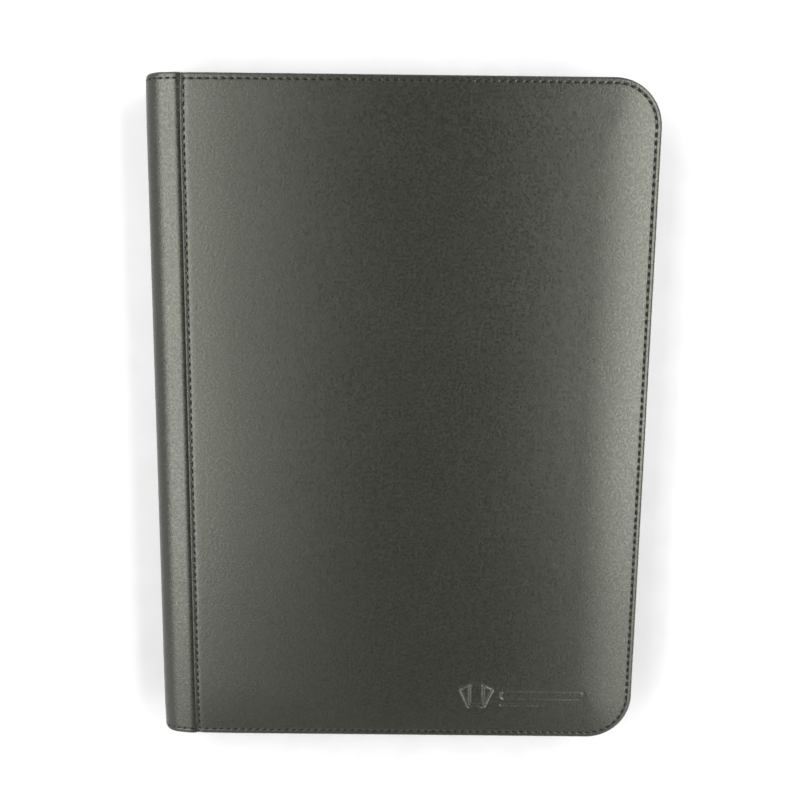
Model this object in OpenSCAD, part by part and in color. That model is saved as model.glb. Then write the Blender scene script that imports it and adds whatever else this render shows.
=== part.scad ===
// Zip-around trading card binder, lying closed on its back cover.
// +Z is up through the thickness, +Y is towards the top edge, the spine is on the -X side.
// The origin is the middle of the back cover's resting face. Units are millimetres.

/* [Covers] */
// Width from the spine's outer face to the fore edge
cover_w = 258; // [245:1:275]
// Height from the foot edge to the top edge
cover_h = 348; // [335:1:365]
// Thickness when closed
closed_t = 34; // [33:0.5:38]
// Radius of the two fore-edge corners
fore_corner_r = 24; // [14:1:28]
// Outer leather of a cover panel
skin_t = 0.8; // [0.6:0.1:1]
// Foam under a cover panel, and the backed leather of the spine wrap
foam_t = 1.5; // [1.2:0.1:2]
// Stiff board
board_t = 2; // [1.5:0.1:2.4]
// Inner lining
lining_t = 0.5; // [0.3:0.1:0.6]
// Width of the stitched border, where leather is turned under and there is no board or foam
border_w = 5; // [4.5:0.5:8]
// Play between a layer and the turned leather edge
edge_play = 0.1; // [0.05:0.05:0.3]

/* [Spine] */
// Radius of the spine's two soft corners
spine_r = 11; // [10:0.5:12]
// Width of the spine wrap seen on each cover
strip_w = 19.4; // [18:0.1:26]
// How far the spine wrap runs on under a cover panel
lap_w = 8; // [5:1:12]
// Thickness of the strip that the leaves are bound to
binding_t = 1.2; // [1:0.1:1.5]
// Length of the binding strip
binding_len = 300; // [280:1:310]

/* [Stitching] */
// Distance of the stitch line from a cover's edge
stitch_inset = 3; // [2.4:0.1:4]
// Distance of the seam's stitch line from the panel's folded edge
seam_stitch = 2; // [1.6:0.1:3]
// Width and depth of the groove that the thread lies in
stitch_w = 0.8; // [0.6:0.1:1]
stitch_depth = 0.3; // [0.2:0.05:0.4]

/* [Mark] */
// Depth of the pressed-in mark on the front cover
mark_depth = 0.3; // [0.1:0.05:0.4]
// Height of the fan of three cards in the mark
mark_h = 14; // [10:1:18]
// Length of the longer rule beside the fan
rule_len = 46; // [30:1:50]

/* [Zip] */
// Distance of the tape's outer face from the cover's edge
tape_inset = 2.5; // [2.2:0.1:3]
// Tape thickness
tape_t = 0.6; // [0.4:0.1:0.8]
// Width of one row of teeth
teeth_w = 2.4; // [2:0.1:2.8]
// Thickness of the teeth through the tape
teeth_t = 2.4; // [2:0.1:2.8]
// Gap between the two rows
teeth_gap = 1.4; // [1.2:0.1:1.6]
// Length of an end stop
stop_len = 3.2; // [2:0.1:4]
// Length of the slider
slider_len = 13; // [11:0.5:15]
// Width of the slider's nose and of its tail
slider_nose_w = 11; // [9:0.5:12]
slider_tail_w = 8.4; // [7:0.1:9]
// Thickness of a slider plate
slider_plate_t = 1.2; // [1:0.1:1.4]
// Clearance between the slider and the teeth
slider_play = 0.3; // [0.2:0.05:0.4]
// Length and width of the pull tab
pull_len = 28; // [20:1:32]
pull_w = 6.4; // [6:0.1:8]

/* [Leaves] */
// Card pocket pitch across and down a leaf
pocket_pitch_x = 71; // [68:1:72]
pocket_pitch_y = 99; // [95:1:101]
// Weld seam between two pockets
weld_w = 4; // [3:0.5:6]
// Plain margin round the pockets
leaf_margin = 3; // [2:0.5:4]
// Backing sheet and pocket film thickness
backing_t = 0.25; // [0.2:0.05:0.3]
pocket_t = 0.12; // [0.1:0.02:0.16]

/* [Hidden] */
$fn = 96;
eps = 0.01;
mark_line_w = 0.8;
mark_x = 44;
mark_y = -149;
rule_w = 1.3;
rule_gap = 5;
half_w = cover_w / 2;
half_h = cover_h / 2;
cover_t = skin_t + foam_t + board_t + lining_t;
hinge_x = -half_w + spine_r;
hinge_z = skin_t + spine_r;
seam_x = -half_w + strip_w;
lining_r = spine_r - foam_t - board_t;
spine_in_x = hinge_x - lining_r + lining_t;
edge_in = skin_t + edge_play;
board_in = border_w + edge_play;
mid_z = closed_t / 2;
teeth_top = mid_z - teeth_gap / 2;
teeth_foot = teeth_top - teeth_w;
tape_x = hinge_x + 2;
teeth_x = tape_x + 0.8 + stop_len;
wall_y = half_h - tape_inset - tape_t / 2;
teeth_inset = tape_inset + tape_t / 2 - teeth_t / 2;
leaves_per_half = 10;
leaf_t = backing_t + 2 * pocket_t;
leaf_w = 3 * pocket_pitch_x + 2 * leaf_margin;
leaf_h = 3 * pocket_pitch_y + 2 * leaf_margin;
leaf_x = hinge_x + 12;
leaf_clear = 0.3;
leaf_pitch = (mid_z - cover_t - 1.5 * leaf_clear) / leaves_per_half;
root_x = spine_in_x + binding_t;
root_w = 1;
root_z = hinge_z + 0.6;
root_top = mid_z - 0.2;
film_t = 0.2;
film_pitch = (root_top - root_z - 2 * film_t) / (leaves_per_half - 1);
slider_x = teeth_x + 0.1 + slider_len / 2;
plate_in = teeth_t / 2 + slider_play;
plate_out = plate_in + slider_plate_t;
web_t = 0.6;
web_len = 2;
lug_len = 6;
lug_w = 1.8;
lug_h = 3.3;
lug_hole_r = 1.1;
pin_out = plate_out + 1.5;
pin_r = 0.7;
arm_r = 0.9;
arm_play = 0.4;
tab_start = 4;
tab_t = 1.2;
tab_hole_r = 1.5;

leather = [0.09, 0.09, 0.09];
cloth = [0.05, 0.05, 0.055];
board_c = [0.45, 0.42, 0.38];
foam_c = [0.75, 0.75, 0.7];
thread = [0.05, 0.05, 0.05];
metal = [0.12, 0.12, 0.13];
plastic = [0.06, 0.06, 0.06];
film_c = [0.5, 0.52, 0.55];

// Turns a part of the back cover into the same part of the front cover.
module as_front() {
    translate([0, 0, closed_t]) mirror([0, 0, 1]) children();
}

// Cover outline from x0 to the fore edge, drawn in by an inset on the three free sides.
module outline(x0, inset) {
    corner_x = half_w - fore_corner_r;
    corner_y = half_h - fore_corner_r;
    r = fore_corner_r - inset;
    translate([x0, -half_h + inset]) square([corner_x - x0, cover_h - 2 * inset]);
    translate([corner_x - eps, -corner_y]) square([r + eps, 2 * corner_y]);
    for (side = [-1, 1]) translate([corner_x, side * corner_y]) circle(r);
}

// Open band between two insets of the outline.
module band(x0, inset, width) {
    difference() {
        outline(x0, inset);
        outline(x0 - 1, inset + width);
    }
}

module slab(z0, z1) {
    translate([0, 0, z0]) linear_extrude(z1 - z0) children();
}

module block(x0, x1, y0, y1, z0, z1) {
    translate([x0, y0, z0]) cube([x1 - x0, y1 - y0, z1 - z0]);
}

// Quarter ring at the spine's lower corner, along the whole height.
module corner_ring(r0, r1, length) {
    translate([hinge_x, length / 2, hinge_z]) rotate([90, 0, 0]) linear_extrude(length)
        intersection() {
            difference() {
                circle(r1);
                circle(r0);
            }
            translate([-r1 - 1, -r1 - 1]) square([r1 + 1, r1 + 1]);
        }
}

// Thread paths: round the free edges, and down the seam.
module stitch_path(width) {
    band(seam_x + 1, stitch_inset - width / 2, width);
    translate([seam_x + seam_stitch - width / 2, -half_h + stitch_inset + 1])
        square([width, cover_h - 2 * stitch_inset - 2]);
}

module cover_skin() {
    difference() {
        union() {
            slab(0, skin_t) outline(seam_x, 0);
            slab(0, cover_t) band(seam_x, 0, skin_t);
            slab(0, cover_t - lining_t) band(seam_x, 0, border_w);
        }
        translate([0, 0, -1]) linear_extrude(1 + stitch_depth) stitch_path(stitch_w);
    }
}

module cover_strip() {
    block(hinge_x, seam_x, -half_h, half_h, skin_t, skin_t + foam_t);
    block(seam_x - eps, seam_x + lap_w, -half_h + board_in, half_h - board_in, skin_t, skin_t + foam_t);
    for (side = [0, 1]) mirror([0, side, 0]) {
        block(hinge_x, seam_x - edge_play, half_h - skin_t, half_h, skin_t, cover_t);
        block(hinge_x, seam_x - edge_play, half_h - border_w, half_h, skin_t, cover_t - lining_t);
    }
}

module cover_foam() {
    slab(skin_t, skin_t + foam_t) outline(seam_x + lap_w + edge_play, board_in);
}

module cover_board() {
    slab(skin_t + foam_t, cover_t - lining_t) outline(hinge_x, board_in);
}

module cover_lining() {
    slab(cover_t - lining_t, cover_t) outline(hinge_x, edge_in);
}

module cover_stitching() {
    slab(0.05, stitch_depth) stitch_path(stitch_w - 0.2);
}

module zip_tape() {
    slab(cover_t, teeth_foot) band(tape_x, tape_inset, tape_t);
}

module zip_teeth() {
    slab(teeth_foot, teeth_top) band(teeth_x, teeth_inset, teeth_t);
}

module zip_stop(side) {
    y = side * wall_y;
    block(tape_x, tape_x + stop_len, y - teeth_t / 2, y + teeth_t / 2, teeth_foot, teeth_top);
}

module front_skin() {
    color(leather) difference() {
        as_front() cover_skin();
        translate([0, 0, closed_t - mark_depth]) linear_extrude(1) mark();
    }
}

// Three plain card outlines in a fan, with two plain rules beside them.
module mark() {
    translate([mark_x, mark_y]) {
        for (turn = [-24, 0, 24]) translate([0, -mark_h / 2]) rotate(turn) card();
        translate([12, -rule_w / 2]) square([rule_len, rule_w]);
        translate([12, -rule_gap - rule_w / 2]) square([rule_len * 0.6, rule_w]);
    }
}

module card() {
    card_w = mark_h * 0.6;
    difference() {
        translate([-card_w / 2, 1]) square([card_w, mark_h - 1]);
        translate([-card_w / 2 + mark_line_w, 1 + mark_line_w])
            square([card_w - 2 * mark_line_w, mark_h - 1 - 2 * mark_line_w]);
    }
}

module front_strip() { color(leather) as_front() cover_strip(); }
module front_hinge_skin() { color(leather) as_front() corner_ring(spine_r - foam_t, spine_r, cover_h); }
module front_foam() { color(foam_c) as_front() cover_foam(); }
module front_board() { color(board_c) as_front() cover_board(); }
module front_lining() { color(cloth) as_front() cover_lining(); }
module front_hinge_lining() {
    color(cloth) as_front() corner_ring(lining_r - lining_t, lining_r, cover_h - 2 * edge_in);
}
module front_stitching() { color(thread) as_front() cover_stitching(); }

module back_skin() { color(leather) cover_skin(); }
module back_strip() { color(leather) cover_strip(); }
module back_hinge_skin() { color(leather) corner_ring(spine_r - foam_t, spine_r, cover_h); }
module back_foam() { color(foam_c) cover_foam(); }
module back_board() { color(board_c) cover_board(); }
module back_lining() { color(cloth) cover_lining(); }
module back_hinge_lining() {
    color(cloth) corner_ring(lining_r - lining_t, lining_r, cover_h - 2 * edge_in);
}
module back_stitching() { color(thread) cover_stitching(); }

module spine_skin() {
    x_in = -half_w + foam_t;
    color(leather) {
        block(-half_w, x_in, -half_h, half_h, hinge_z, closed_t - hinge_z);
        for (side = [0, 1]) mirror([0, side, 0]) {
            block(-half_w, spine_in_x, half_h - skin_t, half_h, hinge_z, closed_t - hinge_z);
            block(-half_w, spine_in_x - lining_t, half_h - border_w, half_h, hinge_z, closed_t - hinge_z);
        }
    }
}

module spine_board() {
    x_in = -half_w + foam_t;
    color(board_c)
        block(x_in, x_in + board_t, -half_h + board_in, half_h - board_in, hinge_z, closed_t - hinge_z);
}

module spine_lining() {
    x_in = -half_w + foam_t + board_t;
    color(cloth)
        block(x_in, x_in + lining_t, -half_h + edge_in, half_h - edge_in, hinge_z, closed_t - hinge_z);
}

module binding_strip() {
    x_in = -half_w + foam_t + board_t + lining_t;
    color(plastic)
        block(x_in, x_in + binding_t, -binding_len / 2, binding_len / 2, hinge_z + 0.4, closed_t - hinge_z - 0.4);
}

// Height of the foot of a leaf, counted up from the back cover in the lower half of the stack.
function leaf_z(i) = cover_t + leaf_clear + i * leaf_pitch;

// Welded root on the binding strip, with one film fanning out to each leaf.
module page_films() {
    color(film_c) {
        block(root_x, root_x + root_w, -leaf_h / 2, leaf_h / 2, root_z, root_top);
        for (i = [0 : leaves_per_half - 1]) {
            z0 = root_z + i * film_pitch;
            z1 = leaf_z(i) + leaf_t / 2 - film_t / 2;
            translate([0, leaf_h / 2, 0]) rotate([90, 0, 0]) linear_extrude(leaf_h)
                polygon([
                    [root_x + root_w - 0.1, z0], [leaf_x, z1],
                    [leaf_x, z1 + film_t], [root_x + root_w - 0.1, z0 + film_t]
                ]);
        }
    }
}

module back_page_films() { page_films(); }
module front_page_films() { as_front() page_films(); }

// One nine-pocket leaf in the lower half of the stack: a backing with pockets on both faces.
module leaf(i) {
    z = leaf_z(i);
    color(film_c) {
        block(leaf_x, leaf_x + leaf_w, -leaf_h / 2, leaf_h / 2, z + pocket_t, z + pocket_t + backing_t);
        for (column = [0 : 2], row = [-1 : 1]) {
            x0 = leaf_x + leaf_margin + column * pocket_pitch_x + weld_w / 2;
            y0 = row * pocket_pitch_y - pocket_pitch_y / 2 + weld_w / 2;
            block(x0, x0 + pocket_pitch_x - weld_w, y0, y0 + pocket_pitch_y - weld_w, z, z + leaf_t);
        }
    }
}

module page_01() { leaf(0); }
module page_02() { leaf(1); }
module page_03() { leaf(2); }
module page_04() { leaf(3); }
module page_05() { leaf(4); }
module page_06() { leaf(5); }
module page_07() { leaf(6); }
module page_08() { leaf(7); }
module page_09() { leaf(8); }
module page_10() { leaf(9); }
module page_11() { as_front() leaf(9); }
module page_12() { as_front() leaf(8); }
module page_13() { as_front() leaf(7); }
module page_14() { as_front() leaf(6); }
module page_15() { as_front() leaf(5); }
module page_16() { as_front() leaf(4); }
module page_17() { as_front() leaf(3); }
module page_18() { as_front() leaf(2); }
module page_19() { as_front() leaf(1); }
module page_20() { as_front() leaf(0); }

module front_zip_tape() { color(cloth) as_front() zip_tape(); }
module front_zip_teeth() { color(plastic) as_front() zip_teeth(); }
module front_zip_stop_top() { color(metal) as_front() zip_stop(1); }
module front_zip_stop_foot() { color(metal) as_front() zip_stop(-1); }
module back_zip_tape() { color(cloth) zip_tape(); }
module back_zip_teeth() { color(plastic) zip_teeth(); }
module back_zip_stop_top() { color(metal) zip_stop(1); }
module back_zip_stop_foot() { color(metal) zip_stop(-1); }

// Puts a part drawn about the slider's middle, with +Z pointing away from the tape, on the foot wall.
module on_foot_wall() {
    translate([slider_x, -wall_y, mid_z]) rotate([90, 0, 0]) children();
}

// Two plates over the teeth, joined at the nose by a thin web that runs between the rows.
module zip_slider() {
    nose = -slider_len / 2;
    tail = slider_len / 2;
    color(metal) on_foot_wall() {
        for (z0 = [plate_in, -plate_out]) translate([0, 0, z0]) linear_extrude(slider_plate_t)
            polygon([
                [nose, -slider_nose_w / 2 + 2], [nose + 2, -slider_nose_w / 2],
                [nose + 5, -slider_nose_w / 2], [tail - 3, -slider_tail_w / 2],
                [tail, -slider_tail_w / 2 + 1], [tail, slider_tail_w / 2 - 1],
                [tail - 3, slider_tail_w / 2], [nose + 5, slider_nose_w / 2],
                [nose + 2, slider_nose_w / 2], [nose, slider_nose_w / 2 - 2]
            ]);
        translate([nose + 0.6, -web_t / 2, -plate_in - eps]) cube([web_len, web_t, 2 * plate_in + 2 * eps]);
        difference() {
            translate([-lug_len / 2, -lug_w / 2, plate_out - eps]) cube([lug_len, lug_w, lug_h + eps]);
            translate([0, lug_w, pin_out]) rotate([90, 0, 0]) cylinder(h = 2 * lug_w, r = lug_hole_r);
        }
    }
}

// Flat tab that turns over on a cross pin through the slider's lug.
module zip_pull() {
    arm_in = lug_w / 2 + arm_play;
    color(metal) on_foot_wall() translate([0, 0, pin_out]) {
        translate([0, pull_w / 2 - 0.1, 0]) rotate([90, 0, 0]) cylinder(h = pull_w - 0.2, r = pin_r);
        for (side = [0, 1]) mirror([0, side, 0]) {
            translate([0, pull_w / 2, 0]) rotate([90, 0, 0]) cylinder(h = pull_w / 2 - arm_in, r = arm_r);
            translate([0, arm_in, -tab_t / 2]) cube([tab_start + eps, pull_w / 2 - arm_in, tab_t]);
        }
        difference() {
            translate([tab_start, -pull_w / 2, -tab_t / 2]) cube([pull_len - tab_start, pull_w, tab_t]);
            translate([pull_len - 4, 0, -tab_t]) cylinder(h = 2 * tab_t, r = tab_hole_r);
        }
    }
}

front_skin();
front_strip();
front_hinge_skin();
front_foam();
front_board();
front_lining();
front_hinge_lining();
front_stitching();
back_skin();
back_strip();
back_hinge_skin();
back_foam();
back_board();
back_lining();
back_hinge_lining();
back_stitching();
spine_skin();
spine_board();
spine_lining();
binding_strip();
front_page_films();
back_page_films();
page_01();
page_02();
page_03();
page_04();
page_05();
page_06();
page_07();
page_08();
page_09();
page_10();
page_11();
page_12();
page_13();
page_14();
page_15();
page_16();
page_17();
page_18();
page_19();
page_20();
front_zip_tape();
front_zip_teeth();
front_zip_stop_top();
front_zip_stop_foot();
back_zip_tape();
back_zip_teeth();
back_zip_stop_top();
back_zip_stop_foot();
zip_slider();
zip_pull();
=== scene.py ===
"""Looks for the zip-around trading card binder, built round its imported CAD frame.

Lengths in this file are millimetres in the row frame, and objects are made in metres.
"""

import math

import bmesh
import bpy
import numpy as np
from mathutils import Euler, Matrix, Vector


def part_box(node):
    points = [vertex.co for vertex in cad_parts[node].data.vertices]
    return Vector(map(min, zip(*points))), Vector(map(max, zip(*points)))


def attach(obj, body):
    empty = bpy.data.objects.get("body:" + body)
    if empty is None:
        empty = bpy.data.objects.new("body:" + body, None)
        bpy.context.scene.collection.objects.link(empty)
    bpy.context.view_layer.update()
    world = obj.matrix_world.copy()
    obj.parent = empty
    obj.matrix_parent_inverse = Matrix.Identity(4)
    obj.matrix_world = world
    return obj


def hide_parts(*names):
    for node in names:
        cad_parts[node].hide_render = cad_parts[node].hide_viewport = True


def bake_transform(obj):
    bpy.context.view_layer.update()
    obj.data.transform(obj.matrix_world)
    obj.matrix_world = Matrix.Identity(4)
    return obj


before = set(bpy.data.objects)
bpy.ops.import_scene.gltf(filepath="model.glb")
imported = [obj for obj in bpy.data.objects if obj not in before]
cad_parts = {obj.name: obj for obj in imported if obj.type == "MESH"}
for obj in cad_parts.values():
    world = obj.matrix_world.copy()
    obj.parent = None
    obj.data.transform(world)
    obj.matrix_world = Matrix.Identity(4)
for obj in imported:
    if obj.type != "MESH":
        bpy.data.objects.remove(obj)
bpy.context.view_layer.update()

MM = 0.001


def node_box(node):
    """Lowest and highest corner of a CAD node, in millimetres."""
    low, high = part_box(node)
    return [c / MM for c in low], [c / MM for c in high]


# ---------------------------------------------------------------- sizes from the frame

(SEAM_X, _, PANEL_UNDER), (FORE_X, HALF_H, TOP_Z) = node_box("front_skin")
COVER_T = TOP_Z - PANEL_UNDER
(HINGE_X, _, _), (_, _, WRAP_TOP) = node_box("front_strip")
(SPINE_X, _, SPINE_LOW), (_, _, SPINE_HIGH) = node_box("spine_skin")
MID_Z = TOP_Z / 2
WRAP_R = HINGE_X - SPINE_X
CORNER_R = HALF_H - max(v.co.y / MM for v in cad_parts["front_skin"].data.vertices
                        if v.co.x / MM > FORE_X - 0.01)
# Width of the turned-under border and thickness of the leatherette, as in the CAD
BORDER_W, SKIN_T = 5.0, 0.8
FOAM_T = WRAP_TOP - node_box("front_foam")[0][2]
LINING_T = node_box("front_lining")[1][2] - node_box("front_lining")[0][2]
STRIP_W = SEAM_X - HINGE_X

# ---------------------------------------------------------------- sizes of the finish

# Stitch line in from a free edge, and in from the folded edge over the spine wrap
STITCH_INSET = 3.0
SEAM_STITCH = 2.0
# Usual stitch pitch, thread radius, half the gap between stitches, and how deep they pull
USUAL_PITCH = 4.0
THREAD_R = 0.36
STITCH_GAP = 0.75
STITCH_SINK = 0.5
# Width of the groove along a stitch line, and its middle and swing as shares of the sink
GROOVE_W = 0.42
GROOVE_MEAN, GROOVE_SWING = 0.55, 0.45
# Rise of the padded face, and how it rolls off towards the free edges and the seam
CROWN = 0.45
PAD_W, PAD_DROP = 29.0, 1.75
BORDER_TILT = 0.12
SEAM_ROLL = 26.0
# Dip of the panel under the seam's stitches: depth and width
SEAM_DIP, SEAM_DIP_W = 0.14, 1.3
# The wrap's roll towards its ends, and its sag, deepest a little way round the spine's corner
STRIP_ROLL, STRIP_SAG = 0.3, 1.1
SAG_PAST = 3.0
# Dent of the wrap along the panel's fold: depth and width
CREASE, CREASE_W = 0.55, 0.9
# Rounding of a turned edge and of the fold
EDGE_R = 1.2
FOLD_R = 0.7
# Share of its thickness that the lining keeps where it is pressed into a gutter
GUTTER_SHARE = 0.6
# Pressed-in mark: place, depth, width of a line and of its soft edge
MARK_X, MARK_Y = 44.0, -149.0
MARK_DEPTH = 0.55
MARK_LINE, MARK_SOFT = 0.9, 0.6
# Its three cards: size, then the pivot's place below, a card's middle above it, the gap between
CARD_W, CARD_H, CARD_ROUND = 8.4, 13.0, 1.2
CARD_PIVOT, CARD_RISE, CARD_GAP = 7.0, 7.5, 0.6
CARD_TURNS = (0, 24, -24)
# Its bar and rule: start beside the fan, length, height, place in Y and corner radius
BAR_START, BAR_LEN = 13.0, 46.0
BAR_H, BAR_Y, BAR_ROUND = 5.2, 0.6, 2.0
RULE_H, RULE_Y, RULE_ROUND = 0.9, -5.4, 0.4
# Mesh spacing: coarse, under the mark, and the least gap where two sets of lines are joined
COARSE_STEP, MARK_STEP = 4.0, 0.45
MARK_GAP, LINE_GAP = 0.6, 0.12
# Reach of the floor, in metres
FLOOR_REACH = 60.0


# ---------------------------------------------------------------- mesh building

class Build:
    """Collects faces by the places of their corners, joins equal corners and makes one object."""

    def __init__(self):
        self.index = {}
        self.points = []
        self.faces = []

    def corner(self, point):
        key = (round(point[0], 4), round(point[1], 4), round(point[2], 4))
        if key not in self.index:
            self.index[key] = len(self.points)
            self.points.append(key)
        return self.index[key]

    def add(self, corners):
        corners = list(dict.fromkeys(corners))
        if len(corners) > 2:
            self.faces.append(corners)

    def face(self, points):
        self.add([self.corner(point) for point in points])

    def grid(self, rows, closed=False):
        """Quads over a grid of points; closed joins each row's last point to its first."""
        rows = np.asarray(rows, float)
        count = rows.shape[1]
        ids = [[self.corner(point) for point in row] for row in rows]
        for low, high in zip(ids, ids[1:]):
            for j in range(count if closed else count - 1):
                k = (j + 1) % count
                self.add((low[j], low[k], high[k], high[j]))

    def tube(self, rows):
        """A grid closed round each row, with a cap on both ends."""
        self.grid(rows, closed=True)
        self.face(rows[0])
        self.face(rows[-1][::-1])

    def object(self, name, body, material):
        """The mesh as a piece, riding on a body if one is named, with its faces turned outwards."""
        mesh = bpy.data.meshes.new(name)
        mesh.from_pydata([[c * MM for c in p] for p in self.points], [], self.faces)
        mesh.materials.append(material)
        work = bmesh.new()
        work.from_mesh(mesh)
        bmesh.ops.recalc_face_normals(work, faces=work.faces)
        work.to_mesh(mesh)
        work.free()
        mesh.polygons.foreach_set("use_smooth", [True] * len(mesh.polygons))
        mesh.update()
        made = bpy.data.objects.new(name, mesh)
        bpy.context.scene.collection.objects.link(made)
        if body:
            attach(made, body)
        return made


def sharpen(obj, degrees=35):
    """Keeps shading flat across edges sharper than this."""
    obj.data.set_sharp_from_angle(angle=math.radians(degrees))


def to_back(points):
    """The mirror image in the other cover of points made for the front one."""
    points = np.array(points, float)
    points[..., 2] = TOP_Z - points[..., 2]
    return points


def side_points(points, side):
    """Points made for the front cover, mirrored if they are for the back one."""
    return np.asarray(points, float) if side == "front" else to_back(points)


def smooth(share):
    """Eases a share between 0 and 1 in and out."""
    return share * share * (3 - 2 * share)


def circle(count, first=0.0):
    """Angles evenly round a circle."""
    return [first + 2 * math.pi * k / count for k in range(count)]


def steps(low, high, step):
    """Evenly spaced values from low to high, both included, no further apart than step."""
    count = max(1, math.ceil((high - low) / step - 1e-9))
    return list(np.linspace(low, high, count + 1))


# ---------------------------------------------------------------- shader helpers

def new_material(name):
    material = bpy.data.materials.new(name)
    material.use_nodes = True
    tree = material.node_tree
    return material, tree, tree.nodes["Principled BSDF"]


def add_node(tree, kind, inputs=None, **settings):
    node = tree.nodes.new(kind)
    for key, value in settings.items():
        setattr(node, key, value)
    for key, value in (inputs or {}).items():
        if isinstance(value, bpy.types.NodeSocket):
            tree.links.new(value, node.inputs[key])
        else:
            node.inputs[key].default_value = value
    return node


def place(tree):
    """Object coordinates, in metres."""
    return add_node(tree, "ShaderNodeTexCoord").outputs["Object"]


def noise(tree, scale, detail=2.0, rough=0.5):
    node = add_node(tree, "ShaderNodeTexNoise", {"Vector": place(tree), "Scale": scale,
                                                 "Detail": detail, "Roughness": rough})
    return node.outputs["Fac"]


def ramp(tree, value, low, high, from_low=0.3, from_high=0.7):
    """Turns a value into a range, for roughness and the like."""
    node = add_node(tree, "ShaderNodeMapRange",
                    {"Value": value, "From Min": from_low, "From Max": from_high,
                     "To Min": low, "To Max": high})
    return node.outputs["Result"]


def tint(tree, value, dark, light, from_low=0.3, from_high=0.7):
    """Turns a value into a colour between two."""
    node = add_node(tree, "ShaderNodeValToRGB", {"Fac": value})
    node.color_ramp.elements[0].position = from_low
    node.color_ramp.elements[0].color = (*dark, 1)
    node.color_ramp.elements[1].position = from_high
    node.color_ramp.elements[1].color = (*light, 1)
    return node.outputs["Color"]


def maths(tree, operation, first, second):
    return add_node(tree, "ShaderNodeMath", {0: first, 1: second}, operation=operation).outputs[0]


def bump(tree, shader, height, distance, strength):
    node = add_node(tree, "ShaderNodeBump",
                    {"Height": height, "Distance": distance, "Strength": strength})
    tree.links.new(node.outputs["Normal"], shader.inputs["Normal"])


# ---------------------------------------------------------------- materials

def leather_material():
    """Fine-grained black leatherette: small pebbles with creases between them."""
    material, tree, shader = new_material("leatherette")
    where = place(tree)
    creases = add_node(tree, "ShaderNodeTexVoronoi", {"Vector": where, "Scale": 900.0},
                       feature="DISTANCE_TO_EDGE").outputs["Distance"]
    crease = ramp(tree, creases, 0.0, 1.0, 0.0, 0.25)
    swell = noise(tree, 750.0, 3.0, 0.6)
    fine = noise(tree, 3600.0, 2.0, 0.6)
    soft = maths(tree, "ADD", swell, maths(tree, "MULTIPLY", fine, 0.12))
    height = maths(tree, "ADD", maths(tree, "MULTIPLY", crease, 0.35), soft)
    bump(tree, shader, height, 0.00011, 0.8)
    patches = noise(tree, 26.0, 3.0, 0.55)
    colour = tint(tree, patches, (0.0070, 0.0074, 0.0056), (0.0085, 0.0090, 0.0068))
    tree.links.new(colour, shader.inputs["Base Color"])
    tree.links.new(ramp(tree, swell, 0.20, 0.36), shader.inputs["Roughness"])
    shader.inputs["Specular Tint"].default_value = (0.97, 1.0, 0.87, 1)
    return material


def thread_material():
    """Twisted black sewing thread."""
    material, tree, shader = new_material("thread")
    twist = add_node(tree, "ShaderNodeTexWave", {"Vector": place(tree), "Scale": 1400.0,
                     "Distortion": 0.6}, bands_direction="DIAGONAL").outputs["Fac"]
    bump(tree, shader, twist, 0.00005, 0.8)
    # Colour darker in the grooves of the twist, where shade falls: painted shade
    tree.links.new(tint(tree, twist, (0.003, 0.003, 0.003), (0.009, 0.009, 0.008)),
                   shader.inputs["Base Color"])
    shader.inputs["Roughness"].default_value = 0.75
    shader.inputs["Specular IOR Level"].default_value = 0.12
    return material


def weave(tree, scale):
    """Over and under threads of a plain weave, from two crossed waves."""
    where = place(tree)
    warp = add_node(tree, "ShaderNodeTexWave", {"Vector": where, "Scale": scale, "Distortion": 0.3},
                    bands_direction="DIAGONAL").outputs["Fac"]
    turned = add_node(tree, "ShaderNodeMapping", {"Vector": where, "Scale": (-1.0, 1.0, -1.0)})
    weft = add_node(tree, "ShaderNodeTexWave", {"Vector": turned.outputs["Vector"],
                    "Scale": scale, "Distortion": 0.3}, bands_direction="DIAGONAL").outputs["Fac"]
    return maths(tree, "MAXIMUM", warp, weft)


def cloth_material(name, dark, light, scale, sheen):
    material, tree, shader = new_material(name)
    threads = weave(tree, scale)
    fuzz = noise(tree, 3000.0, 2.0, 0.6)
    height = maths(tree, "ADD", threads, maths(tree, "MULTIPLY", fuzz, 0.6))
    bump(tree, shader, height, 0.00008, 0.8)
    tree.links.new(tint(tree, fuzz, dark, light), shader.inputs["Base Color"])
    shader.inputs["Roughness"].default_value = 0.85
    shader.inputs["Sheen Weight"].default_value = sheen
    shader.inputs["Sheen Roughness"].default_value = 0.4
    return material


def nap_material():
    """Short velvet-like lining with faint brushed patches."""
    material, tree, shader = new_material("lining")
    fibres = noise(tree, 2600.0, 3.0, 0.7)
    brushed = noise(tree, 38.0, 2.0, 0.5)
    bump(tree, shader, fibres, 0.00010, 0.9)
    tree.links.new(tint(tree, brushed, (0.010, 0.010, 0.0115), (0.018, 0.018, 0.020)),
                   shader.inputs["Base Color"])
    shader.inputs["Roughness"].default_value = 0.9
    shader.inputs["Sheen Weight"].default_value = 0.5
    shader.inputs["Sheen Roughness"].default_value = 0.35
    return material


def enamel_material():
    """Black enamelled metal with light wear and orange-peel."""
    material, tree, shader = new_material("zip_metal")
    peel = noise(tree, 900.0, 2.0, 0.5)
    scuffs = noise(tree, 240.0, 4.0, 0.65)
    bump(tree, shader, peel, 0.00002, 0.5)
    tree.links.new(tint(tree, scuffs, (0.012, 0.012, 0.013), (0.035, 0.034, 0.034), 0.45, 0.8),
                   shader.inputs["Base Color"])
    tree.links.new(ramp(tree, scuffs, 0.26, 0.42), shader.inputs["Roughness"])
    shader.inputs["Metallic"].default_value = 0.35
    shader.inputs["Coat Weight"].default_value = 0.3
    return material


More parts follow.
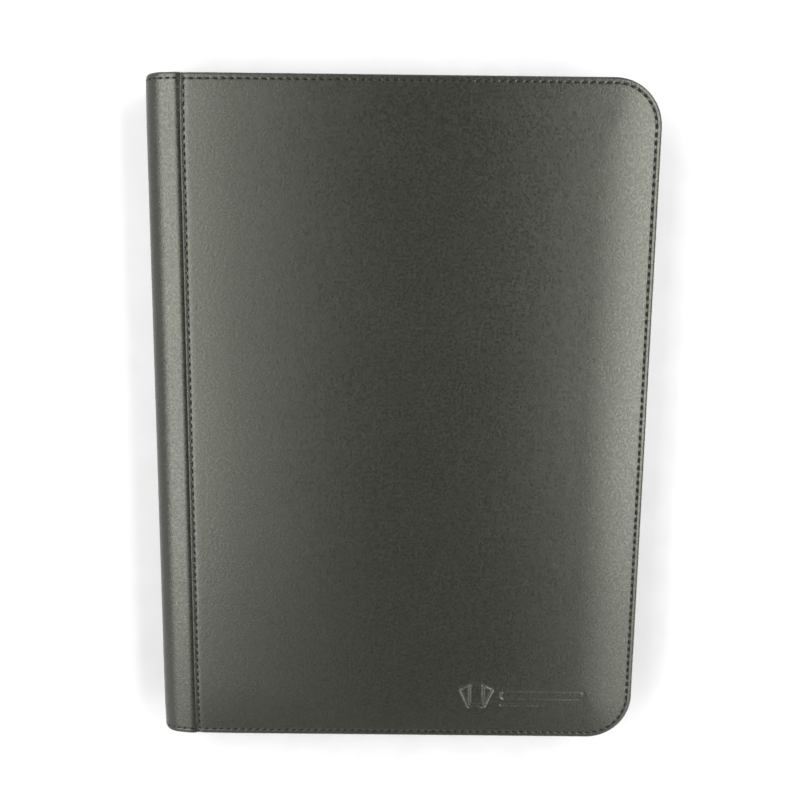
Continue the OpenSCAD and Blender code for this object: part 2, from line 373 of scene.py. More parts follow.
def plastic_material(name, colour, rough_low, rough_high, grain, depth):
    """Moulded or calendered plastic with a fine texture."""
    material, tree, shader = new_material(name)
    texture = noise(tree, grain, 3.0, 0.55)
    bump(tree, shader, texture, depth, 0.6)
    light = tuple(c * 1.35 for c in colour)
    tree.links.new(tint(tree, texture, colour, light), shader.inputs["Base Color"])
    tree.links.new(ramp(tree, texture, rough_low, rough_high), shader.inputs["Roughness"])
    return material


def film_material():
    """Clear pockets welded over a black backing sheet: glossy, with slow ripples in the film."""
    material, tree, shader = new_material("page_film")
    ripples = noise(tree, 30.0, 2.0, 0.5)
    fine = noise(tree, 420.0, 2.0, 0.5)
    height = maths(tree, "ADD", ripples, maths(tree, "MULTIPLY", fine, 0.02))
    bump(tree, shader, height, 0.0011, 0.5)
    tree.links.new(tint(tree, fine, (0.012, 0.012, 0.014), (0.017, 0.017, 0.019)),
                   shader.inputs["Base Color"])
    tree.links.new(ramp(tree, fine, 0.13, 0.20), shader.inputs["Roughness"])
    shader.inputs["Coat Weight"].default_value = 0.6
    shader.inputs["Coat Roughness"].default_value = 0.08
    return material


def board_material():
    """Grey bookbinding board with pressed fibres."""
    material, tree, shader = new_material("board")
    fibres = noise(tree, 700.0, 5.0, 0.65)
    bump(tree, shader, fibres, 0.00006, 0.6)
    tree.links.new(tint(tree, fibres, (0.26, 0.24, 0.21), (0.40, 0.37, 0.33)),
                   shader.inputs["Base Color"])
    shader.inputs["Roughness"].default_value = 0.9
    return material


def foam_material():
    """Pale open-cell foam."""
    material, tree, shader = new_material("foam")
    cells = add_node(tree, "ShaderNodeTexVoronoi", {"Vector": place(tree), "Scale": 1800.0},
                     feature="F1").outputs["Distance"]
    bump(tree, shader, cells, 0.00015, 0.8)
    # Colour darker down in each cell's pit, where shade falls: painted shade
    tree.links.new(tint(tree, cells, (0.45, 0.44, 0.38), (0.66, 0.65, 0.58), 0.1, 0.6),
                   shader.inputs["Base Color"])
    shader.inputs["Roughness"].default_value = 0.95
    return material


LEATHER = leather_material()
THREAD = thread_material()
NAP = nap_material()
TAPE = cloth_material("zip_tape", (0.010, 0.010, 0.011), (0.020, 0.020, 0.021), 420.0, 0.2)
ENAMEL = enamel_material()
NYLON = plastic_material("zip_teeth", (0.014, 0.014, 0.015), 0.28, 0.38, 1500.0, 0.00002)
BINDING = plastic_material("binding", (0.016, 0.016, 0.016), 0.45, 0.6, 900.0, 0.00004)
FILM = film_material()
BOARD = board_material()
FOAM = foam_material()


# ---------------------------------------------------------------- shape of a cover

CORNER_X = FORE_X - CORNER_R
CORNER_Y = HALF_H - CORNER_R
SIDE_LEN = CORNER_X - SEAM_X
BEND_LEN = (CORNER_R - STITCH_INSET) * math.pi / 2
HALF_PATH = SIDE_LEN + BEND_LEN + CORNER_Y
PITCH = HALF_PATH / round(HALF_PATH / USUAL_PITCH)


def panel_inset(x, y):
    """Distance in from the cover's three free edges."""
    across, along = x - CORNER_X, np.abs(y) - CORNER_Y
    straight = np.minimum(FORE_X - x, HALF_H - np.abs(y))
    return np.where((across > 0) & (along > 0), CORNER_R - np.hypot(across, along), straight)


def stitch_way(x, y):
    """Distance along the border's stitch line, from the seam."""
    across, along = x - CORNER_X, np.abs(y) - CORNER_Y
    turned = np.arctan2(np.maximum(across, 0), np.maximum(along, 1e-6))
    corner = SIDE_LEN + turned * (CORNER_R - STITCH_INSET)
    fore = SIDE_LEN + BEND_LEN + CORNER_Y - np.abs(y)
    return np.where(across <= 0, x - SEAM_X, np.where(along > 0, corner, fore))


def quarter_round(inset, radius):
    """Drop of a rounded edge below its flat."""
    short = np.clip(radius - inset, 0, radius)
    return radius - np.sqrt(np.maximum(radius**2 - short**2, 0))


def groove(off, way):
    """Stitch line: pulled down along each stitch, puffed up between stitches."""
    pull = GROOVE_MEAN - GROOVE_SWING * np.cos(2 * math.pi * way / PITCH)
    return pull * STITCH_SINK * np.exp(-((off / GROOVE_W) ** 2))


def border_drop(inset, way, pad):
    """How far the face lies below its middle: pad rolling off, stitch line, rounded edge."""
    roll = np.clip((STITCH_INSET + PAD_W - inset) / PAD_W, 0, 1) ** 2 * pad
    tilt = BORDER_TILT * np.clip(STITCH_INSET - inset, 0, None)
    return roll + tilt + groove(inset - STITCH_INSET, way) + quarter_round(inset, EDGE_R)


def seam_drop(x, y):
    """How far the panel lies below its middle beside its folded edge over the spine wrap."""
    off = x - SEAM_X
    dip = SEAM_DIP * np.exp(-(((off - SEAM_STITCH) / SEAM_DIP_W) ** 2))
    low = np.clip(1 - off / SEAM_ROLL, 0, 1) ** 2 * CROWN
    return quarter_round(off, FOLD_R) + groove(off - SEAM_STITCH, y) + dip + low


def rounded_box(x, y, width, height, radius):
    """Distance from the outline of a box with rounded corners, negative inside."""
    over_x, over_y = np.abs(x) - (width / 2 - radius), np.abs(y) - (height / 2 - radius)
    outside = np.hypot(np.maximum(over_x, 0), np.maximum(over_y, 0))
    return outside + np.minimum(np.maximum(over_x, over_y), 0) - radius


def outline(inside):
    """Distance from the line drawn just inside an outline."""
    return np.abs(inside + MARK_LINE / 2) - MARK_LINE / 2


def mark_drop(x, y):
    """Pressed-in mark: a fan of three plain card outlines, a plain bar and a plain rule."""
    x, y = x - MARK_X, y - MARK_Y
    pressed = covered = np.full(np.shape(x), 9.0)
    for turn in CARD_TURNS:
        cos, sin = math.cos(math.radians(turn)), math.sin(math.radians(turn))
        foot = y + CARD_PIVOT
        card = rounded_box(x * cos + foot * sin, foot * cos - x * sin - CARD_RISE,
                           CARD_W, CARD_H, CARD_ROUND)
        pressed = np.minimum(pressed, np.maximum(outline(card), CARD_GAP - covered))
        covered = np.minimum(covered, card)
    bar = rounded_box(x - BAR_START - BAR_LEN / 2, y - BAR_Y, BAR_LEN, BAR_H, BAR_ROUND)
    rule = rounded_box(x - BAR_START - BAR_LEN / 4, y - RULE_Y, BAR_LEN / 2, RULE_H, RULE_ROUND)
    pressed = np.minimum(np.minimum(pressed, outline(bar)), rule)
    return MARK_DEPTH * smooth(np.clip(0.5 - pressed / MARK_SOFT, 0, 1))


def panel_height(x, y, marked):
    """Height of a front panel's face, with the pressed-in mark or without it."""
    x, y = np.asarray(x, float), np.asarray(y, float)
    inset = panel_inset(x, y)
    height = TOP_Z + CROWN - border_drop(inset, stitch_way(x, y), PAD_DROP) - seam_drop(x, y)
    slow = 0.05 * np.sin(x / 31.0 + 0.7) * np.sin(y / 43.0 + 0.4)
    height = height + slow * np.clip((inset - 8) / 14, 0, 1)
    return height - mark_drop(x, y) if marked else height


# Mesh lines, close together at the stitches and the edge: in from a free edge, and on from the seam
BORDER_INSETS = [17.5, 15, 13, 11.3, 9.8, 8.4, 7.2, 6.2, 5.4, 4.8, 4.3, 3.9, 3.55, 3.25, 3.0,
                 2.75, 2.45, 2.1, 1.75, 1.4, 1.1, 0.8, 0.55, 0.33, 0.16, 0.05, 0.0]
SEAM_LINES = [0, 0.06, 0.18, 0.36, 0.58, 0.82, 1.08, 1.32, 1.55, 1.78, 2.0, 2.22, 2.45, 2.7, 3.0,
              3.5, 4.2, 5.2, 6.6, 8.4, 10.6, 13]


def merged(must, wish, gap):
    """All of must, with each of wish that is not closer than gap to one already there."""
    lines = sorted(set(must))
    extra = [v for v in wish if lines[0] < v < lines[-1] and min(abs(v - m) for m in lines) > gap]
    return sorted(lines + extra)


def border_ring(inset, x_lines, y_lines):
    """Points of one ring round the three free sides, from the seam round to the seam again."""
    turns = np.linspace(math.pi / 2, 0, round(BEND_LEN / PITCH * 4) + 1)[1:-1]
    reach = CORNER_R - inset
    half = [(x, HALF_H - inset) for x in x_lines]
    half += [(CORNER_X + reach * math.cos(a), CORNER_Y + reach * math.sin(a)) for a in turns]
    half += [(FORE_X - inset, y) for y in y_lines[::-1] if y > -1e-6]
    return half + [(x, -y) for x, y in half[:-1][::-1]]


def between(lines, low, high):
    """Those of lines that are strictly between low and high."""
    return [v for v in lines if low + 1e-6 < v < high - 1e-6]


def build_panel(side):
    """The padded leatherette of one cover panel, with its stitched border, fold and edge."""
    marked = side == "front"
    fine = PITCH / 4
    seam_lines = [SEAM_X + d for d in SEAM_LINES]
    near, far = seam_lines[-1], CORNER_X
    inner_x, inner_y = steps(near, far, COARSE_STEP), steps(-CORNER_Y, CORNER_Y, COARSE_STEP)
    insets = [CORNER_R, 20.5] + BORDER_INSETS
    if marked:
        mark_x = steps(MARK_X - 12, MARK_X + BAR_START + BAR_LEN + 1, MARK_STEP)
        mark_y = steps(-CORNER_Y, MARK_Y + 9, MARK_STEP)
        inner_x = merged(mark_x + [near, far], inner_x, MARK_GAP)
        inner_y = merged(mark_y + [CORNER_Y], inner_y, MARK_GAP)
        insets = steps(BORDER_INSETS[0] - 0.8, CORNER_R, MARK_STEP)[::-1] + BORDER_INSETS[1:]
    stitch_x = [SEAM_X + k * fine for k in range(int(SIDE_LEN / fine) + 1)]
    stitch_y = [CORNER_Y - k * fine for k in range(int(CORNER_Y / fine) + 1)]
    band_x = seam_lines[:-1] + merged(inner_x, stitch_x, LINE_GAP)
    half_y = merged([abs(y) for y in inner_y] + [0.0], stitch_y, LINE_GAP)
    band_y = sorted({v for y in half_y for v in (y, -y)})
    made = Build()

    def lift(x, y):
        return float(panel_height(x, y, marked))

    def ring(inset, height):
        flat = np.array(border_ring(inset, band_x, band_y))
        return np.column_stack([flat, height(flat[:, 0], flat[:, 1])])

    # Face, turned edge and border underneath, then the hollow over the foam
    base = TOP_Z - COVER_T + LINING_T
    rings = [ring(inset, lambda x, y: panel_height(x, y, marked)) for inset in insets]
    for inset, rise in ((0.0, 0.9), (0.08, 0.5), (0.35, 0.15), (0.8, 0), (BORDER_W, 0)):
        rings.append(ring(inset, lambda x, y: np.full(len(x), base + rise)))
    for inset in (BORDER_W, 8, 12, 17, CORNER_R):
        rings.append(ring(inset, lambda x, y: panel_height(np.maximum(x, SEAM_X + 4), y, False) - SKIN_T))
    made.grid(side_points(rings, side))
    for end in (0, -1):
        made.face(side_points([line[end] for line in rings], side))
    under = rings[-1][0][2]
    edge = [(SEAM_X, y, under) for y in band_y]
    made.face(side_points(list(rings[-1]) + edge[1:-1], side))
    made.grid(side_points([edge] + [[(x, y, lift(x, y)) for y in band_y] for x in seam_lines], side))

    # Inside the rings: a plain grid, whose outer cells also take up the rings' points
    heights = panel_height(*np.meshgrid(inner_x, inner_y, indexing="ij"), marked)
    for i, (x0, x1) in enumerate(zip(inner_x, inner_x[1:])):
        for j, (y0, y1) in enumerate(zip(inner_y, inner_y[1:])):
            loop = [(x0, y0, heights[i, j])]
            if j == 0:
                loop += [(x, y0, lift(x, y0)) for x in between(band_x, x0, x1)]
            loop.append((x1, y0, heights[i + 1, j]))
            if i == len(inner_x) - 2:
                loop += [(x1, y, lift(x1, y)) for y in between(band_y, y0, y1)]
            loop.append((x1, y1, heights[i + 1, j + 1]))
            if j == len(inner_y) - 2:
                loop += [(x, y1, lift(x, y1)) for x in between(band_x, x0, x1)[::-1]]
            loop.append((x0, y1, heights[i, j + 1]))
            if i == 0:
                loop += [(x0, y, lift(x0, y)) for y in between(band_y, y0, y1)[::-1]]
            made.face(side_points(loop, side))
    panel = made.object(f"{side}_panel", f"{side}_cover", LEATHER)
    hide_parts(f"{side}_skin")


def build_foam(side):
    """Thin foam pad under the panel, thinned where the panel is drawn down at the border."""
    made = Build()
    x_low = node_box(f"{side}_foam")[0][0]
    bottom = WRAP_TOP - FOAM_T
    rings = []
    x_lines = steps(x_low, CORNER_X, 2 * COARSE_STEP)
    y_lines = steps(-CORNER_Y, CORNER_Y, 2 * COARSE_STEP)
    for inset in (CORNER_R, 20, 17, 14, 11, 9, 7.5, 6.3, BORDER_W + 0.1):
        flat = np.array(border_ring(inset, x_lines, y_lines))
        z = panel_height(flat[:, 0], flat[:, 1], False) - SKIN_T - 0.08
        rings.append(np.column_stack([flat, z]))
    rings.append(np.column_stack([rings[-1][:, :2], np.full(len(rings[-1]), bottom)]))
    made.grid(side_points(rings, side))
    made.face(side_points(rings[0], side))
    made.face(side_points(rings[-1], side))
    seam_side = [ring[0] for ring in rings] + [ring[-1] for ring in rings[::-1]]
    made.face(side_points(seam_side, side))
    foam = made.object(f"{side}_pad", f"{side}_cover", FOAM)
    sharpen(foam)
    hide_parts(f"{side}_foam")


# ---------------------------------------------------------------- the spine wrap

ARC_LEN = WRAP_R * math.pi / 2
WRAP_LEN = STRIP_W + ARC_LEN + (SPINE_HIGH - MID_Z)
WRAP_PITCH = WRAP_LEN / round(WRAP_LEN / PITCH)
# Depth of the lining's free face below the wrap's outer face
WRAP_T = COVER_T - SKIN_T
# An inset past everything that the border does to the wrap
AWAY = 40.0


def wrap_place(way, depth):
    """(x, z) on the front half of the wrap, way along from the seam and depth in from the face."""
    if way <= STRIP_W:
        return SEAM_X - way, WRAP_TOP - depth
    if way <= STRIP_W + ARC_LEN:
        angle = (way - STRIP_W) / WRAP_R
        reach = WRAP_R - depth
        return HINGE_X - reach * math.sin(angle), SPINE_HIGH + reach * math.cos(angle)
    return SPINE_X + depth, SPINE_HIGH - (way - STRIP_W - ARC_LEN)


def hinge_blend(obj, side):
    """Bakes a piece's place into its mesh; the ends of the quarter-round corner found here are not used.
    """
    trim = WRAP_T / 2
    near = [HINGE_X - trim, 0, WRAP_TOP - trim]
    far = [SPINE_X + trim, 0, SPINE_HIGH + trim]
    if side == "back":
        near[2], far[2] = TOP_Z - near[2], TOP_Z - far[2]
    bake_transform(obj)


def wrap_surface(way, inset):
    """Depth of the wrap's outer face below its true line."""
    peak, end = STRIP_W + SAG_PAST, STRIP_W + ARC_LEN
    rise = way / peak if way < peak else max((end - way) / (end - peak), 0)
    sag = STRIP_SAG * smooth(rise)
    crease = CREASE * np.exp(-((way / CREASE_W) ** 2))
    return border_drop(inset, way * PITCH / WRAP_PITCH, STRIP_ROLL) + sag + crease


def build_wrap(side):
    """Half of the spine wrap, from under the panel's fold round to the middle of the spine."""
    made = Build()
    inner = WRAP_T - LINING_T
    insets = [24.0, 20.5] + BORDER_INSETS
    middle = steps(-(HALF_H - 29), HALF_H - 29, 12.0)
    turned = [(0.0, inner - 0.9), (0.1, inner - 0.4), (0.4, inner - 0.1), (0.9, inner),
              (BORDER_W, inner), (BORDER_W, FOAM_T)]
    under = [(HALF_H - inset, depth) for inset, depth in turned]
    rows = []
    for way in steps(0, WRAP_LEN, WRAP_PITCH / 4):
        edge = [(HALF_H - inset, float(wrap_surface(way, inset))) for inset in insets]
        section = [(-y, depth) for y, depth in edge[::-1]]
        section += [(y, float(wrap_surface(way, AWAY))) for y in middle]
        section += edge + under + [(-y, depth) for y, depth in under[::-1]]
        row = []
        for y, depth in section:
            x, z = wrap_place(way, depth)
            row.append((x, y, z))
        rows.append(row)
    made.tube(side_points(rows, side))
    lap_end = node_box(f"{side}_strip")[1][0]
    lap_y = HALF_H - BORDER_W - 0.2
    lap_low = WRAP_TOP - FOAM_T
    lap_top = lap_low + 0.5
    ring = [(lap_y, lap_top), (-lap_y, lap_top), (-lap_y, lap_low), (lap_y, lap_low)]
    made.tube(side_points([[(x, y, z) for y, z in ring] for x in (SEAM_X + 0.02, lap_end)], side))
    wrap = made.object(f"spine_wrap_{side}", None, LEATHER)
    sharpen(wrap, 50)
    hinge_blend(wrap, side)
    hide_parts(f"{side}_strip", f"{side}_hinge_skin", "spine_skin")


def build_hinge_lining(side):
    """Lining pressed into the gutter of a soft corner, between the cover's lining and the spine's."""
    made = Build()
    ys = steps(-(HALF_H - 0.9), HALF_H - 0.9, 6.0)
    flush = WRAP_T - LINING_T
    gutter = flush - FOAM_T - 0.02
    rows = []
    for share in steps(0, 1, 0.03):
        pressed = smooth(min(share / 0.12, (1 - share) / 0.25, 1))
        sunk = flush - gutter * pressed
        thick = LINING_T * (1 - (1 - GUTTER_SHARE) * pressed)
        row = []
        for extra, line in ((0, ys), (thick, ys[::-1])):
            for y in line:
                wave = math.sin(y / 9.0 + 1.3 * math.sin(y / 37.0))
                ripple = max(0.1 * math.sin(share * math.pi) * wave, 0)
                x, z = wrap_place(STRIP_W + ARC_LEN * share, sunk + extra + ripple)
                row.append((x, y, z))
        rows.append(row)
    made.tube(side_points(rows, side))
    lining = made.object(f"{side}_hinge_cloth", None, NAP)
    sharpen(lining)
    hinge_blend(lining, side)
    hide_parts(f"{side}_hinge_lining")


# ---------------------------------------------------------------- stitching

def stitch(made, start, end, up):
    """One visible stitch: a thread that rises from one hole and dives into the next."""
    start, end, up = np.array(start), np.array(end), np.array(up)
    along = (end - start) / np.linalg.norm(end - start)
    side = np.cross(along, up)
    rows = []
    for share, lift, size in ((0.0, -0.5, 0.6), (0.06, -0.15, 0.9), (0.2, 0.12, 1.0), (0.5, 0.2, 1.05),
                              (0.8, 0.12, 1.0), (0.94, -0.15, 0.9), (1.0, -0.5, 0.6)):
        centre = start + (end - start) * share + up * lift
        radius = THREAD_R * size
        rows.append([centre + radius * (side * math.cos(a) + up * math.sin(a)) for a in circle(8)])
    made.tube(rows)


def border_point(way):
    """(x, y) on the stitch line of the border's top half."""
    reach = CORNER_R - STITCH_INSET
    if way <= SIDE_LEN:
        return SEAM_X + way, HALF_H - STITCH_INSET
    if way <= SIDE_LEN + BEND_LEN:
        angle = math.pi / 2 - (way - SIDE_LEN) / reach
        return CORNER_X + reach * math.cos(angle), CORNER_Y + reach * math.sin(angle)
    return FORE_X - STITCH_INSET, CORNER_Y - (way - SIDE_LEN - BEND_LEN)


def build_panel_stitches(side):
    """Thread round the cover's free edges and down its seam."""
    made = Build()
    up = (0, 0, 1) if side == "front" else (0, 0, -1)

    def sew(first, last):
        middle = [(a + b) / 2 for a, b in zip(first, last)]
        z = float(panel_height(*middle, False)) + THREAD_R * 0.3
        stitch(made, side_points((*first, z), side), side_points((*last, z), side), up)

    for k in range(round(HALF_PATH / PITCH)):
        first = border_point(k * PITCH + STITCH_GAP)
        last = border_point((k + 1) * PITCH - STITCH_GAP)
        sew(first, last)
        sew((first[0], -first[1]), (last[0], -last[1]))
    count = int((HALF_H - STITCH_INSET) / PITCH)
    x = SEAM_X + SEAM_STITCH
    for k in range(-count, count):
        sew((x, k * PITCH + STITCH_GAP), (x, (k + 1) * PITCH - STITCH_GAP))
    thread = made.object(f"{side}_panel_thread", f"{side}_cover", THREAD)
    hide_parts(f"{side}_stitching")


def build_wrap_stitches(side):
    """Thread along both ends of the spine wrap, going round its soft corner."""
    made = Build()
    sign = 1 if side == "front" else -1
    for mirror in (1, -1):
        y = mirror * (HALF_H - STITCH_INSET)
        for k in range(round(WRAP_LEN / WRAP_PITCH)):
            middle = (k + 0.5) * WRAP_PITCH
            depth = float(wrap_surface(middle, STITCH_INSET)) - THREAD_R * 0.3
            ends = []
            for way in (k * WRAP_PITCH + STITCH_GAP, (k + 1) * WRAP_PITCH - STITCH_GAP):
                x, z = wrap_place(way, depth)
                ends.append(side_points((x, y, z), side))
            angle = min(max((middle - STRIP_W) / WRAP_R, 0), math.pi / 2)
            stitch(made, *ends, (-math.sin(angle), 0, sign * math.cos(angle)))
    thread = made.object(f"{side}_wrap_thread", None, THREAD)
    hinge_blend(thread, side)


# ---------------------------------------------------------------- the zip

TEETH_X, _, TEETH_LOW = node_box("back_zip_teeth")[0]
TAPE_LINE = 2.8
TOOTH_PITCH = 2.2
# How far a tooth starts below its row and reaches past the middle
TOOTH_ROOT, TOOTH_MESH = 0.4, 0.45
# Share of a tooth's height, half width along the zip and half thickness across it
TOOTH_SHAPE = ((0, 0.40, 0.95), (0.25, 0.42, 1.0), (0.6, 0.40, 0.98),
               (0.82, 0.47, 1.12), (0.94, 0.42, 0.98), (1, 0.2, 0.55))
# Cord under the teeth: middle above the row's foot, half width and half height
CORD_Z, CORD_W, CORD_H = 0.55, 0.72, 0.6


def zip_path(way):
    """Place, direction and outward side on the zip's line, and the line's whole length."""
    reach = CORNER_R - TAPE_LINE
    side_len, bend, fore = CORNER_X - TEETH_X, reach * math.pi / 2, 2 * CORNER_Y
    total = 2 * (side_len + bend) + fore
    mirror = 1
    if way > total / 2:
        way, mirror = total - way, -1
    if way <= side_len:
        x, y, angle = TEETH_X + way, HALF_H - TAPE_LINE, math.pi / 2
    elif way <= side_len + bend:
        angle = math.pi / 2 - (way - side_len) / reach
        x, y = CORNER_X + reach * math.cos(angle), CORNER_Y + reach * math.sin(angle)
    else:
        x, y, angle = FORE_X - TAPE_LINE, CORNER_Y - (way - side_len - bend), 0.0
    out = np.array((math.cos(angle), math.sin(angle) * mirror, 0))
    tangent = np.array((math.sin(angle), -math.cos(angle) * mirror, 0)) * mirror
    return np.array((x, y * mirror, 0)), tangent, out, total


def build_teeth(side):
    """Coiled teeth that mesh with the other row, on the corded edge of their tape."""
    made = Build()
    total = zip_path(0)[3]
    first = 0.7 if side == "back" else 1.2
    root, tip = TEETH_LOW - TOOTH_ROOT, MID_Z + TOOTH_MESH
    up = np.array((0, 0, 1))
    around = circle(8, math.pi / 8)
    # The back row is made in its place, and the front one is its mirror image
    placed = to_back if side == "front" else np.array

    def ring(centre, across, outward):
        return [centre + across * math.cos(a) + outward * math.sin(a) for a in around]

    for k in range(int(total / TOOTH_PITCH - 1)):
        where, tangent, out, _ = zip_path((k + first) * TOOTH_PITCH)
        rows = [ring(where + up * (root + (tip - root) * share), tangent * wide, out * thick)
                for share, wide, thick in TOOTH_SHAPE]
        made.tube(placed(rows))
    cord = []
    for way in steps(0, total, COARSE_STEP):
        where, _, out, _ = zip_path(way)
        cord.append(ring(where + up * (TEETH_LOW + CORD_Z), out * CORD_W, up * CORD_H))
    made.tube(placed(cord))
    teeth = made.object(f"{side}_coil", f"{side}_cover", NYLON)
    sharpen(teeth, 45)
    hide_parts(f"{side}_zip_teeth")


# ---------------------------------------------------------------- leaves

(LEAF_X, _, _), (LEAF_END, LEAF_HALF, _) = node_box("page_01")
LEAF_MARGIN = 3.0
FILM_HALF = 0.1
POCKET_X = (LEAF_END - LEAF_X - 2 * LEAF_MARGIN) / 3
POCKET_Y = (2 * LEAF_HALF - 2 * LEAF_MARGIN) / 3
WELD_X = [LEAF_X + LEAF_MARGIN + k * POCKET_X for k in range(4)]
WELD_Y = [-LEAF_HALF + LEAF_MARGIN + k * POCKET_Y for k in range(4)]
# Half width of a weld, and the width over which a pocket rises beside it
WELD_HALF, POCKET_RISE = 0.9, 1.1
# Mesh lines beside a weld, and as shares of a pocket
WELD_OFFSETS = (-2.4, -1.9, -1.45, -1.1, -0.85, 0, 0.85, 1.1, 1.45, 1.9, 2.4)
POCKET_SHARES = (0.2, 0.4, 0.6, 0.8)


def leaf_lift(x, y):
    """Share of the full thickness at a place on a leaf: pockets stand up between weld seams."""
    lift = np.ones(np.shape(x))
    for across, welds in ((x, WELD_X), (y, WELD_Y)):
        for weld in welds:
            beside = np.abs(across - weld) - WELD_HALF
            lift = np.minimum(lift, np.clip(beside / POCKET_RISE, 0, 1))
    inside = (x > WELD_X[0]) & (x < WELD_X[-1]) & (np.abs(y) < WELD_Y[-1])
    return np.where(inside, smooth(lift), 0)


def leaf_lines(low, high, welds, pocket):
    """Mesh lines across a leaf: its edges, close together at the welds, few over the pockets."""
    lines = {low, high}
    lines |= {round(weld + d, 3) for weld in welds for d in WELD_OFFSETS}
    lines |= {round(weld + share * pocket, 3) for weld in welds[:-1] for share in POCKET_SHARES}
    return sorted(lines)


def build_leaf(number):
    """A nine-pocket leaf: black backing with clear pockets welded to both faces."""
    node = f"page_{number:02d}"
    low, high = node_box(node)
    middle, half = (low[2] + high[2]) / 2, (high[2] - low[2]) / 2
    body = "back_pages" if number <= 10 else "front_pages"
    xs = leaf_lines(LEAF_X, LEAF_END, WELD_X, POCKET_X)
    ys = leaf_lines(-LEAF_HALF, LEAF_HALF, WELD_Y, POCKET_Y)
    grid_x, grid_y = np.meshgrid(xs, ys, indexing="ij")
    thick = half * (0.5 + 0.5 * leaf_lift(grid_x, grid_y))
    made = Build()
    upper = np.stack([grid_x, grid_y, middle + thick], axis=-1)
    lower = np.stack([grid_x, grid_y, middle - thick], axis=-1)
    made.grid(upper)
    made.grid(lower)
    rim = [(0, j) for j in range(len(ys))] + [(i, -1) for i in range(1, len(xs))]
    rim += [(-1, j) for j in range(len(ys) - 2, -1, -1)] + [(i, 0) for i in range(len(xs) - 2, -1, -1)]
    made.grid([[upper[a] for a in rim], [lower[a] for a in rim]])
    leaf = made.object(f"leaf_{number:02d}", body, FILM)
    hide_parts(node)


def build_margins(side):
    """The inner margins of ten leaves, gathered and welded at the binding strip."""
    made = Build()
    low, high = node_box("back_page_films")
    root_x, root_end = low[0], low[0] + 1.0
    root_low, root_high = SPINE_LOW + 0.6, MID_Z - 0.2

    def section(x, below, above):
        corners = ((-LEAF_HALF, below), (LEAF_HALF, below), (LEAF_HALF, above), (-LEAF_HALF, above))
        return [(x, y, TOP_Z - z) for y, z in corners]

    made.tube(side_points([section(x, root_low, root_high) for x in (root_x, root_end)], side))
    start, end = root_end - 0.2, LEAF_X + 0.3
    for k in range(10):
        page_low, page_high = node_box(f"page_{k + 1:02d}")
        leaf_z = (page_low[2] + page_high[2]) / 2
        root_z = root_low + 0.2 + k * (root_high - root_low - 0.4) / 9
        rows = []
        for share in np.linspace(0, 1, 15):
            z = root_z + (leaf_z - root_z) * smooth(share)
            rows.append(section(start + (end - start) * share, z - FILM_HALF, z + FILM_HALF))
        made.tube(side_points(rows, side))
    films = made.object(f"{side}_leaf_margins", None, FILM)
    sharpen(films)
    z = (high[2] if side == "back" else TOP_Z - high[2]) * MM
    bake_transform(films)
    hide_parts(f"{side}_page_films")


# ---------------------------------------------------------------- CAD nodes that stay

def dress(node, material, bevel=0.0):
    """Gives a CAD node its material, with softened edges where it is hard."""
    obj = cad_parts[node]
    obj.data.materials.clear()
    obj.data.materials.append(material)
    if bevel:
        soft = obj.modifiers.new("edges", "BEVEL")
        soft.width = bevel * MM
        soft.segments = 3
        soft.limit_method = "ANGLE"
        soft.angle_limit = math.radians(30)


for half in ("front", "back"):
    build_panel(half)
    build_foam(half)
    build_wrap(half)
    build_hinge_lining(half)
    build_panel_stitches(half)
    build_wrap_stitches(half)
    build_teeth(half)
    build_margins(half)
    dress(f"{half}_board", BOARD)
    dress(f"{half}_lining", NAP)
    dress(f"{half}_zip_tape", TAPE)
    dress(f"{half}_zip_stop_top", ENAMEL, 0.4)
    dress(f"{half}_zip_stop_foot", ENAMEL, 0.4)
for page in range(1, 21):
    build_leaf(page)
dress("spine_board", BOARD)
dress("spine_lining", NAP)
dress("binding_strip", BINDING, 0.3)
dress("zip_slider", ENAMEL, 0.35)
dress("zip_pull", ENAMEL, 0.35)


# ---------------------------------------------------------------- floor, light and camera

def floor_material():
    material, tree, shader = new_material("floor")
    grain = noise(tree, 60.0, 3.0, 0.5)
    tree.links.new(tint(tree, grain, (0.41, 0.41, 0.41), (0.43, 0.43, 0.43)),
                   shader.inputs["Base Color"])
    shader.inputs["Roughness"].default_value = 0.7
    return material


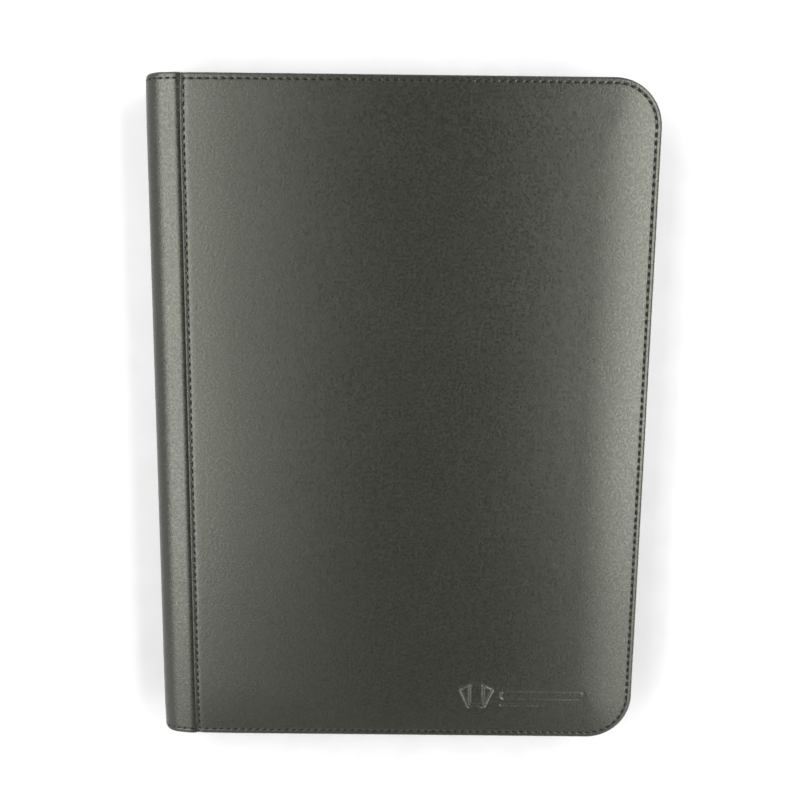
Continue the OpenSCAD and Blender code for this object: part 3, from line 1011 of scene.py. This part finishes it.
def build_floor():
    mesh = bpy.data.meshes.new("floor")
    corners = [(x * FLOOR_REACH, y * FLOOR_REACH, 0) for x, y in ((-1, -1), (1, -1), (1, 1), (-1, 1))]
    mesh.from_pydata(corners, [], [(0, 1, 2, 3)])
    mesh.materials.append(floor_material())
    floor = bpy.data.objects.new("floor", mesh)
    bpy.context.scene.collection.objects.link(floor)


def build_world():
    """A studio dome, darker overhead than round its sides."""
    world = bpy.data.worlds.new("studio")
    bpy.context.scene.world = world
    world.use_nodes = True
    tree = world.node_tree
    way = add_node(tree, "ShaderNodeTexCoord").outputs["Generated"]
    up = add_node(tree, "ShaderNodeSeparateXYZ", {"Vector": way}).outputs["Z"]
    glow = ramp(tree, up, 1.4, 0.192, 0.35, 0.85)
    background = tree.nodes["Background"]
    background.inputs["Color"].default_value = (1.0, 1.0, 1.0, 1)
    tree.links.new(glow, background.inputs["Strength"])


def soft_light(name, centre, tilt, size, radiance):
    """A soft box lying along Y overhead, turned about Y to face the object."""
    lamp = bpy.data.lights.new(name, "AREA")
    lamp.shape = "RECTANGLE"
    lamp.size, lamp.size_y = size[0] * MM, size[1] * MM
    lamp.energy = math.pi * radiance * lamp.size * lamp.size_y
    obj = bpy.data.objects.new(name, lamp)
    obj.location = Vector(centre) * MM
    obj.rotation_euler = (0, math.radians(tilt), 0)
    bpy.context.scene.collection.objects.link(obj)


def build_camera():
    """The photograph's view: from above, with the top of the cover a little nearer."""
    lens = bpy.data.cameras.new("camera")
    lens.sensor_width, lens.lens = 36.0, 35.0
    camera = bpy.data.objects.new("camera", lens)
    camera.location = Vector((-0.4, 67.4, 431.8)) * MM
    camera.rotation_euler = Euler([math.radians(a) for a in (-7.81, -0.054, 0.635)], "XYZ")
    bpy.context.scene.collection.objects.link(camera)
    bpy.context.scene.camera = camera


build_floor()
build_world()
soft_light("right_main", (480, 200, 600), 30, (280, 1000), 11.2)
soft_light("right_foot", (470, -500, 600), 30, (280, 400), 5.0)
soft_light("left_main", (-505, 155, 600), -34, (240, 1090), 10.1)
soft_light("left_inner", (-268, 205, 600), -19, (150, 1050), 4.3)
soft_light("inner_foot", (-200, -450, 600), -15, (120, 260), 2.2)
soft_light("left_foot", (-500, -550, 600), -34, (240, 300), 4.2)
build_camera()
bpy.context.scene.view_settings.view_transform = "Standard"
